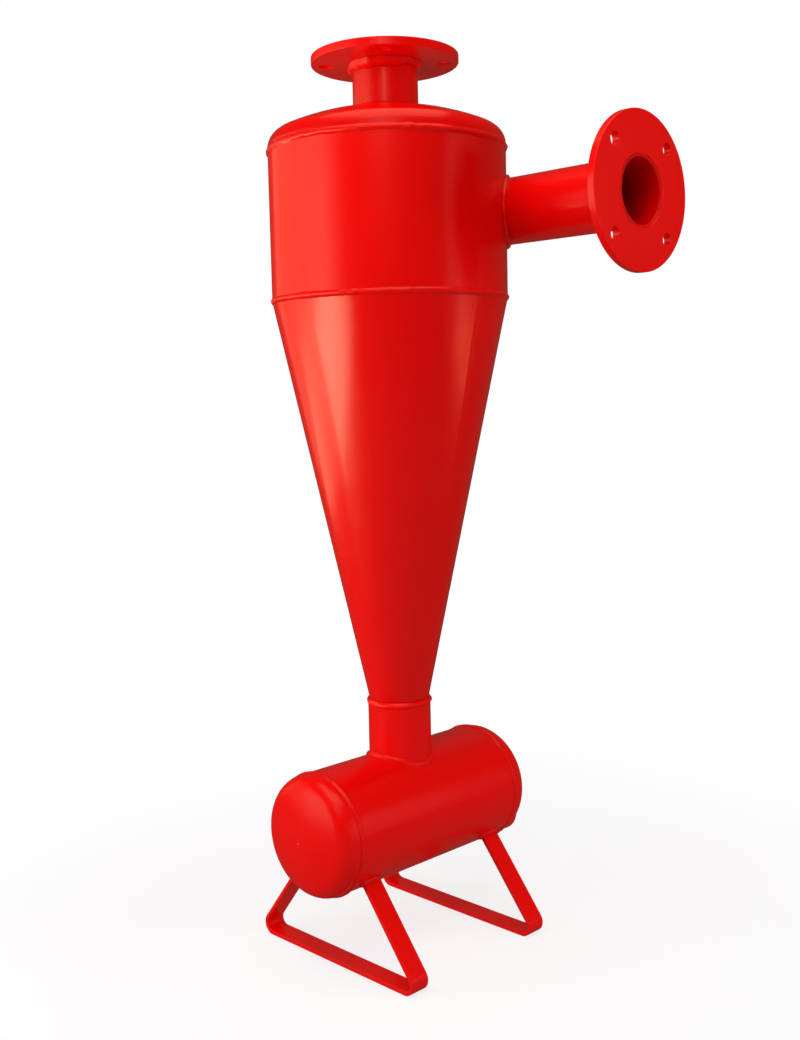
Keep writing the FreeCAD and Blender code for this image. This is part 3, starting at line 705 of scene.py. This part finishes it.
class Graph:
    """A new material, and short hands for building its nodes."""

    def __init__(self, name):
        self.material = bpy.data.materials.new(name)
        self.material.use_nodes = True
        self.tree = self.material.node_tree
        self.tree.nodes.clear()

    def add(self, kind, **settings):
        node = self.tree.nodes.new(kind)
        for key, value in settings.items():
            setattr(node, key, value)
        return node

    def join(self, source, target):
        self.tree.links.new(source, target)

    def feed(self, node, **values):
        for key, value in values.items():
            socket = node.inputs[key.replace("_", " ")]
            if hasattr(value, "is_linked"):
                self.join(value, socket)
            else:
                socket.default_value = value
        return node

    def noise(self, vector, scale, detail=2.0, roughness=0.5):
        node = self.add("ShaderNodeTexNoise")
        self.feed(node, Vector=vector, Scale=scale, Detail=detail, Roughness=roughness)
        return node.outputs["Fac"]

    def object_place(self):
        return self.add("ShaderNodeTexCoord").outputs["Object"]

    def stretch(self, vector, scale):
        node = self.add("ShaderNodeMapping")
        self.feed(node, Vector=vector, Scale=scale)
        return node.outputs["Vector"]

    def ramp(self, value, low, high, to_low=0.0, to_high=1.0, clamp=True):
        node = self.add("ShaderNodeMapRange", clamp=clamp)
        self.feed(node, Value=value)
        node.inputs["From Min"].default_value = low
        node.inputs["From Max"].default_value = high
        node.inputs["To Min"].default_value = to_low
        node.inputs["To Max"].default_value = to_high
        return node.outputs["Result"]

    def math(self, operation, first, second):
        node = self.add("ShaderNodeMath", operation=operation)
        for index, value in enumerate((first, second)):
            if hasattr(value, "is_linked"):
                self.join(value, node.inputs[index])
            else:
                node.inputs[index].default_value = value
        return node.outputs["Value"]

    def mix(self, share, first, second):
        node = self.add("ShaderNodeMix", data_type="RGBA")
        for index, value in ((0, share), (6, first), (7, second)):
            if hasattr(value, "is_linked"):
                self.join(value, node.inputs[index])
            else:
                node.inputs[index].default_value = value
        return node.outputs[2]

    def bump(self, height, strength, distance, normal=None):
        node = self.add("ShaderNodeBump")
        self.feed(node, Height=height, Strength=strength, Distance=distance)
        if normal is not None:
            self.join(normal, node.inputs["Normal"])
        return node.outputs["Normal"]

    def glow(self, strength):
        node = self.add("ShaderNodeEmission")
        self.feed(node, Strength=strength)
        node.inputs["Color"].default_value = (1.0, 1.0, 1.0, 1)
        return node.outputs["Emission"]

    def surface(self, shading):
        output = self.add("ShaderNodeOutputMaterial")
        self.join(shading, output.inputs["Surface"])
        return self.material


# the film's own red, its warmer clouds, a deep red for its darker flecks and for painted shade
# in hollows, its thin paint along edges, and a dark red for painted shade deep in the inlet's
# bore
RED = (0.880, 0.0007, 0.0005, 1)
WARM = (0.925, 0.0020, 0.0013, 1)
DEEP_TONE_AND_SHADE = (0.660, 0.0004, 0.0003, 1)
THIN = (0.900, 0.0160, 0.0100, 1)
BORE_SHADE_RED = (0.110, 0.0010, 0.0008, 1)
# how fine each pattern is, in repeats to the metre
CLOUDS = 5.0
FILM = 13.0
SLOW_WAVES = 26.0
WORN_PATCHES = 60.0
FLECKS = 140.0
ORANGE_PEEL = 360.0
# how strong each relief is, and how deep in metres
PEEL_RELIEF = (0.10, 0.0005)
WAVE_RELIEF = (0.22, 0.0012)
ROLLED_RELIEF = (0.32, 0.0030)
# where "crest" reads as a hollow that gets painted shade or as an edge, and where the worn
# patches start and end
SHADED_HOLLOW_RANGE = (-0.15, -0.95)
EDGE_RANGE = (0.25, 1.0)
PATCH_RANGE = (0.36, 0.64)
# the most of each tint that shows
CLOUD_SHARES = (0.1, 0.9)
FLECK_SHARES = (0.01, 0.10)
HOLLOW_SHADE_SHARE = 0.75
THIN_SHARE = 0.45
BORE_SHADE_SHARE = 0.95
# the gloss of the film and of the clear coat over it
GLOSS_SWING = 0.08
WORN_DULLING = 0.08
DULLEST = 0.27
FILM_IOR = 1.45
FILM_SPECULAR = 0.42
COAT = 0.55
COAT_ROUGHNESS = 0.14
COAT_IOR = 1.42
# the inlet's bore: halfway through the pipe's wall, and where painted shade starts and is full
# along it
BORE_EDGE = PIPE_RADIUS - PIPE_WALL / 2
BORE_SHADE_START = 8 * MM
BORE_SHADE_FULL = 90 * MM
BORE_BLEND = 0.5 * MM


def painted_bore_shade(g, place):
    """How much painted shade darkens the inlet's bore, more the deeper in, nothing on the
    outside.
    """
    offset = g.add("ShaderNodeVectorMath", operation="SUBTRACT")
    g.join(place, offset.inputs[0])
    offset.inputs[1].default_value = (INLET_FACE, INLET.y, INLET.z)
    flat = g.add("ShaderNodeVectorMath", operation="MULTIPLY")
    g.join(offset.outputs["Vector"], flat.inputs[0])
    flat.inputs[1].default_value = (0.0, 1.0, 1.0)
    radius = g.add("ShaderNodeVectorMath", operation="LENGTH")
    g.join(flat.outputs["Vector"], radius.inputs[0])
    along = g.add("ShaderNodeSeparateXYZ")
    g.join(offset.outputs["Vector"], along.inputs[0])
    from_axis = radius.outputs["Value"]
    inner = g.ramp(from_axis, BORE_EDGE - BORE_BLEND, BORE_EDGE + BORE_BLEND, 1.0, 0.0)
    deep = g.ramp(along.outputs["X"], -BORE_SHADE_START, -BORE_SHADE_FULL, 0.0, BORE_SHADE_SHARE)
    return g.math("MULTIPLY", inner, deep)


def paint(name, bands=None, peel=1.0, rough=0.24, bore=False):
    """Gloss red paint: cloudy film, orange peel, and the waviness of the metal under it."""
    g = Graph(name)
    place = g.object_place()
    clouds = g.noise(place, CLOUDS, 1.5, 0.4)
    flecks = g.noise(place, FLECKS, 1.0, 0.5)
    colour = g.mix(g.ramp(clouds, 0.0, 1.0, *CLOUD_SHARES, clamp=False), RED, WARM)
    colour = g.mix(g.ramp(flecks, 0.0, 1.0, *FLECK_SHARES, clamp=False), colour, DEEP_TONE_AND_SHADE)
    # painted shade darkens the hollows, such as the toes of the welds; the paint is thinner
    # along edges and weld crests
    exposed = g.add("ShaderNodeAttribute", attribute_name="crest").outputs["Fac"]
    patchy = g.ramp(g.noise(place, WORN_PATCHES, 3.0, 0.6), *PATCH_RANGE)
    painted_hollow_shade = g.ramp(exposed, *SHADED_HOLLOW_RANGE, 0.0, HOLLOW_SHADE_SHARE)
    edge = g.math("MULTIPLY", g.ramp(exposed, *EDGE_RANGE), patchy)
    colour = g.mix(painted_hollow_shade, colour, DEEP_TONE_AND_SHADE)
    colour = g.mix(g.math("MULTIPLY", edge, THIN_SHARE), colour, THIN)
    # painted shade, darker deeper into the inlet's bore
    if bore:
        colour = g.mix(painted_bore_shade(g, place), colour, BORE_SHADE_RED)
    film = g.noise(place, FILM, 1.0, 0.5)
    gloss = g.ramp(film, 0.0, 1.0, rough - GLOSS_SWING, rough + GLOSS_SWING, clamp=False)
    gloss = g.math("ADD", gloss, g.math("MULTIPLY", edge, WORN_DULLING))
    gloss = g.math("MINIMUM", gloss, DULLEST)
    # orange peel over slow waves
    strength, depth = PEEL_RELIEF
    skin = g.noise(place, ORANGE_PEEL, 1.5, 0.45)
    normal = g.bump(skin, strength * peel, depth)
    normal = g.bump(g.noise(place, SLOW_WAVES, 1.0, 0.4), *WAVE_RELIEF, normal)
    if bands:
        rolled = g.noise(g.stretch(place, bands), 1.0, 1.5, 0.4)
        normal = g.bump(rolled, *ROLLED_RELIEF, normal)
    shader = g.add("ShaderNodeBsdfPrincipled")
    g.feed(shader, Base_Color=colour, Roughness=gloss, Normal=normal)
    shader.inputs["IOR"].default_value = FILM_IOR
    shader.inputs["Specular IOR Level"].default_value = FILM_SPECULAR
    shader.inputs["Coat Weight"].default_value = COAT
    shader.inputs["Coat Roughness"].default_value = COAT_ROUGHNESS
    shader.inputs["Coat IOR"].default_value = COAT_IOR
    return g.surface(shader.outputs["BSDF"])


# waves of the metal: along each rolled shell, and every way on a pressed head
UPRIGHT_BANDS = (26.0, 26.0, 1.1)
LYING_BANDS = (30.0, 1.4, 30.0)
PRESSED_WAVES = (13.0, 13.0, 13.0)
shell_paint = paint("shell_paint_upright", bands=UPRIGHT_BANDS)
tank_paint = paint("shell_paint_lying", bands=LYING_BANDS)
head_paint = paint("shell_paint_pressed", bands=PRESSED_WAVES)
pipe_paint = paint("pipe_paint", peel=1.1)
inlet_paint = paint("pipe_paint_inlet", peel=1.1, bore=True)
flange_paint = paint("flange_paint", peel=0.9, rough=0.26)
weld_paint = paint("weld_paint", peel=0.8, rough=0.20)
strap_paint = paint("strap_paint", peel=1.2, rough=0.27)

dressing = {
    "top_head": head_paint,
    "barrel": shell_paint,
    "cone": shell_paint,
    "tank_shell": tank_paint,
    "tank_front_head": head_paint,
    "tank_rear_head": head_paint,
    "outlet_pipe": pipe_paint,
    "inlet_pipe": inlet_paint,
    "lower_neck": pipe_paint,
}


def dress(piece, material):
    piece.data.materials.clear()
    piece.data.materials.append(material)


for node, material in dressing.items():
    dress(nodes[node], material)
for pieces, material, slot in (
    (welds, weld_paint, "weld_paint"),
    (flanges, flange_paint, "flange_paint"),
    (straps, strap_paint, "strap_paint"),
    ([drain], pipe_paint, "pipe_paint"),
):
    for piece in pieces:
        dress(piece, material)
        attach(piece, "root")
for name, node in nodes.items():
    if name not in dressing:
        dress(node, weld_paint if "weld" in name else pipe_paint)


# the pale floor and the white surround

FLOOR_HALF = 16.0
FLOOR_COOL = (0.24, 0.26, 0.28, 1)
FLOOR_PALE = (0.26, 0.28, 0.30, 1)
# how brightly the floor glows by itself, by its distance from the middle in metres
NEAR, NEAR_GLOW = 0.5, 0.78
FAR, FAR_GLOW = 2.6, 1.05
ROOM_RADIUS = 24.0


def make_floor():
    """A pale sheet that takes a soft shadow near the object and goes white farther off."""
    mesh = bpy.data.meshes.new("floor")
    corners = [
        (-FLOOR_HALF, -FLOOR_HALF, 0), (FLOOR_HALF, -FLOOR_HALF, 0),
        (FLOOR_HALF, FLOOR_HALF, 0), (-FLOOR_HALF, FLOOR_HALF, 0),
    ]
    mesh.from_pydata(corners, [], [(0, 1, 2, 3)])
    floor = bpy.data.objects.new("floor", mesh)
    bpy.context.scene.collection.objects.link(floor)
    g = Graph("pale_floor")
    place = g.object_place()
    distance = g.add("ShaderNodeVectorMath", operation="LENGTH")
    g.join(place, distance.inputs[0])
    tone = g.ramp(g.noise(place, 2.0, 3.0), 0.3, 0.7)
    shader = g.add("ShaderNodeBsdfDiffuse")
    g.feed(shader, Color=g.mix(tone, FLOOR_COOL, FLOOR_PALE))
    both = g.add("ShaderNodeAddShader")
    g.join(shader.outputs["BSDF"], both.inputs[0])
    strength = g.ramp(distance.outputs["Value"], NEAR, FAR, NEAR_GLOW, FAR_GLOW)
    g.join(g.glow(strength), both.inputs[1])
    dress(floor, g.surface(both.outputs["Shader"]))
    floor.visible_glossy = False
    floor.visible_diffuse = False


def make_surround():
    """A white room seen by the camera alone, so the object's reflections stay plain."""
    mesh = bpy.data.meshes.new("surround")
    work = bmesh.new()
    bmesh.ops.create_uvsphere(work, u_segments=48, v_segments=24, radius=ROOM_RADIUS)
    work.to_mesh(mesh)
    work.free()
    room = bpy.data.objects.new("surround", mesh)
    bpy.context.scene.collection.objects.link(room)
    g = Graph("white_surround")
    strength = g.ramp(g.noise(g.object_place(), 0.2), 0.3, 0.7, 1.0, FAR_GLOW)
    dress(room, g.surface(g.glow(strength)))
    room.visible_diffuse = False
    room.visible_glossy = False
    room.visible_transmission = False
    room.visible_shadow = False


make_floor()
make_surround()


# the light

VIEW_DEGREES = 45.4
VIEW_TURN = math.radians(VIEW_DEGREES)
FLOOR_GAP = 0.003
toward = np.array([math.sin(VIEW_TURN), -math.cos(VIEW_TURN), 0.0])
rightward = np.array([math.cos(VIEW_TURN), math.sin(VIEW_TURN), 0.0])

AMBER = (1.0, 0.70, 0.42)
REDDISH = (1.0, 0.22, 0.11)
PLAIN = (1.0, 1.0, 1.0)


def area_lamp(name, wide, deep, radiance, colour, only):
    """A flat lamp hidden from the camera; it lights only one group if one is named."""
    lamp = bpy.data.lights.new(name, "AREA")
    lamp.shape = "RECTANGLE"
    lamp.size, lamp.size_y = wide, deep
    lamp.energy = radiance * math.pi * wide * deep
    lamp.color = colour
    panel = bpy.data.objects.new(name, lamp)
    panel.visible_camera = False
    if only is not None:
        panel.light_linking.receiver_collection = only
    bpy.context.scene.collection.objects.link(panel)
    return panel


def softbox(name, turn, height, distance, wide, tall, radiance, aim_height,
            colour, mirrored=True, only=None):
    """A soft panel at a turn to the right of the camera's side, aimed at the object."""
    turn = math.radians(turn)
    side = toward * math.cos(turn) + rightward * math.sin(turn)
    place = centre_line + side * distance + UP * height
    panel = area_lamp(name, wide, tall, radiance, colour, only)
    panel.location = place
    aim = Vector(centre_line + UP * aim_height) - Vector(place)
    panel.rotation_mode = "QUATERNION"
    panel.rotation_quaternion = aim.to_track_quat("-Z", "Y")
    panel.visible_glossy = mirrored


def floor_sheet(name, ahead, across, deep, wide, radiance, colour, only):
    """A lit sheet lying on the floor beside the object: ahead is nearer the camera."""
    sheet = area_lamp(name, wide, deep, radiance, colour, only)
    place = centre_line + toward * ahead + rightward * across + UP * FLOOR_GAP
    axes = np.stack([rightward, toward, -UP], 1)
    spin = Matrix([list(row) for row in axes]).to_4x4()
    sheet.matrix_world = Matrix.Translation(Vector(place)) @ spin


def group(name, members):
    chosen = bpy.data.collections.new(name)
    for member in members:
        chosen.objects.link(member)
    return chosen


def pieces_of(*words):
    return [
        piece for piece in list(nodes.values()) + welds + flanges + straps + [drain]
        if any(word in piece.name for word in words)
    ]


# the groups of pieces that some lamps are for
body = group("cone_and_barrel", pieces_of("barrel", "cone", "head_seam"))
upper = group("upper_body", pieces_of(
    "barrel", "cone", "top_head", "head_seam", "outlet", "inlet_flange",
))
inlet = group("inlet_branch", pieces_of("inlet_pipe", "inlet_flange", "inlet_face"))
plate = group("inlet_plate", pieces_of("inlet_flange"))
branch = group("inlet_pipe_alone", pieces_of("inlet_pipe"))
vessel = group("tank_alone", pieces_of("tank_shell", "tank_front", "tank_rear"))
outlet = group("outlet_plate", pieces_of("outlet_flange"))
lower = group("tank_and_feet", pieces_of("tank", "foot", "strap", "neck", "drain"))

# name, ahead, across, deep, wide, radiance, colour, group
floor_sheet("left_sheet", 1.40, -2.62, 1.9, 1.8, 7.2, AMBER, body)
floor_sheet("left_sheet_far", -0.60, -3.00, 2.0, 2.2, 2.0, AMBER, body)
floor_sheet("right_sheet", 0.45, 3.10, 1.4, 0.9, 3.8, REDDISH, body)
# name, turn in degrees, height, distance, wide, tall, radiance, height aimed at, colour
# walls and windows that the paint mirrors
softbox("left_wall", -98, 0.95, 1.8, 3.0, 1.5, 0.50, 0.80, AMBER, only=upper)
softbox("left_wall_wide", -82, 0.95, 1.9, 2.6, 1.5, 0.22, 0.80, AMBER, only=upper)
softbox("left_wall_edge", -72, 0.95, 2.0, 2.4, 1.5, 0.20, 0.80, AMBER, only=upper)
softbox("left_wall_low", -88, 0.95, 1.8, 3.2, 1.5, 0.26, 0.80, AMBER, only=lower)
softbox("high_window", -4, 1.60, 1.7, 0.30, 0.24, 1.5, 1.6, AMBER, only=upper)
softbox("top_panel", 20, 3.1, 0.25, 2.4, 2.4, 0.8, 0.5, AMBER)
# light that the paint does not mirror
softbox("top_soft", -20, 3.1, 0.6, 2.4, 2.4, 1.6, 0.5, PLAIN, mirrored=False)
softbox("left_key", -68, 0.9, 2.6, 1.6, 1.8, 2.8, 0.5, PLAIN, mirrored=False)
softbox("high_key", -5, 1.9, 1.6, 1.0, 0.8, 3.4, 1.0, PLAIN, mirrored=False)
softbox("right_fill", 73, 0.9, 3.0, 1.8, 1.5, 3.4, 0.6, PLAIN, mirrored=False)
softbox("rear_fill", 175, 1.7, 3.2, 2.6, 2.2, 1.1, 0.6, PLAIN, mirrored=False)
softbox("floor_bounce", 20, 0.002, 0.25, 2.8, 2.8, 0.30, 9.0, PLAIN, mirrored=False)
# the same for some pieces only
softbox("low_left_lift", -67, 0.6, 1.8, 1.2, 1.0, 2.2, 0.24, PLAIN, mirrored=False, only=lower)
softbox("low_right_lift", 40, 0.7, 2.0, 1.2, 1.0, 1.2, 0.20, PLAIN, mirrored=False, only=lower)
softbox("low_bounce", 20, 0.002, 0.25, 2.8, 2.8, 0.32, 9.0, PLAIN, mirrored=False, only=lower)
softbox("inlet_lift", -45, 0.3, 1.8, 1.2, 0.8, 2.4, 1.0, PLAIN, mirrored=False, only=inlet)
softbox("inlet_bounce", 20, 0.002, 0.25, 2.8, 2.8, 1.20, 9.0, PLAIN, mirrored=False, only=branch)
softbox("tank_bounce", 20, 0.002, 0.25, 2.8, 2.8, 0.45, 9.0, PLAIN, mirrored=False, only=vessel)
softbox("face_lift", 45, 1.0, 2.0, 1.0, 1.0, 1.4, 1.0, PLAIN, mirrored=False, only=plate)
softbox("flange_lift", -70, 0.3, 1.5, 1.2, 0.8, 4.0, 1.2, PLAIN, mirrored=False, only=outlet)

ROOM_COLOUR = (1.0, 0.50, 0.38, 1)
ROOM_STRENGTH = 0.10
scene = bpy.context.scene
world = bpy.data.worlds.new("dim_room")
world.use_nodes = True
background = world.node_tree.nodes["Background"]
background.inputs["Color"].default_value = ROOM_COLOUR
background.inputs["Strength"].default_value = ROOM_STRENGTH
scene.world = world
scene.view_settings.view_transform = "Standard"
scene.view_settings.look = "None"

# the camera, in front of the object and to its right

CAMERA_PLACE = np.array([1.2203 + AXIS_X, -1.2034 + AXIS_Y, 0.7759])
TURN = math.radians(VIEW_DEGREES - 0.225)
PITCH = math.radians(5.8)
ROLL = math.radians(-1.295)
SENSOR = 36.0
FOCAL, FRAME_HEIGHT = 1225.74, 1040
ahead = np.array([
    -math.sin(TURN) * math.cos(PITCH), math.cos(TURN) * math.cos(PITCH), -math.sin(PITCH)
])
right = np.array([math.cos(TURN), math.sin(TURN), 0.0])
up = np.cross(right, ahead)
image_x = math.cos(ROLL) * right + math.sin(ROLL) * up
image_y = -math.sin(ROLL) * right + math.cos(ROLL) * up
lens = bpy.data.cameras.new("camera")
lens.sensor_fit = "AUTO"
lens.sensor_width = SENSOR
lens.lens = SENSOR * FOCAL / FRAME_HEIGHT
lens.clip_start, lens.clip_end = 0.05, 60
camera = bpy.data.objects.new("camera", lens)
rows = [list(row) for row in np.stack([image_x, image_y, -ahead], 1)]
camera.matrix_world = Matrix.Translation(Vector(CAMERA_PLACE)) @ Matrix(rows).to_4x4()
scene.collection.objects.link(camera)
scene.camera = camera
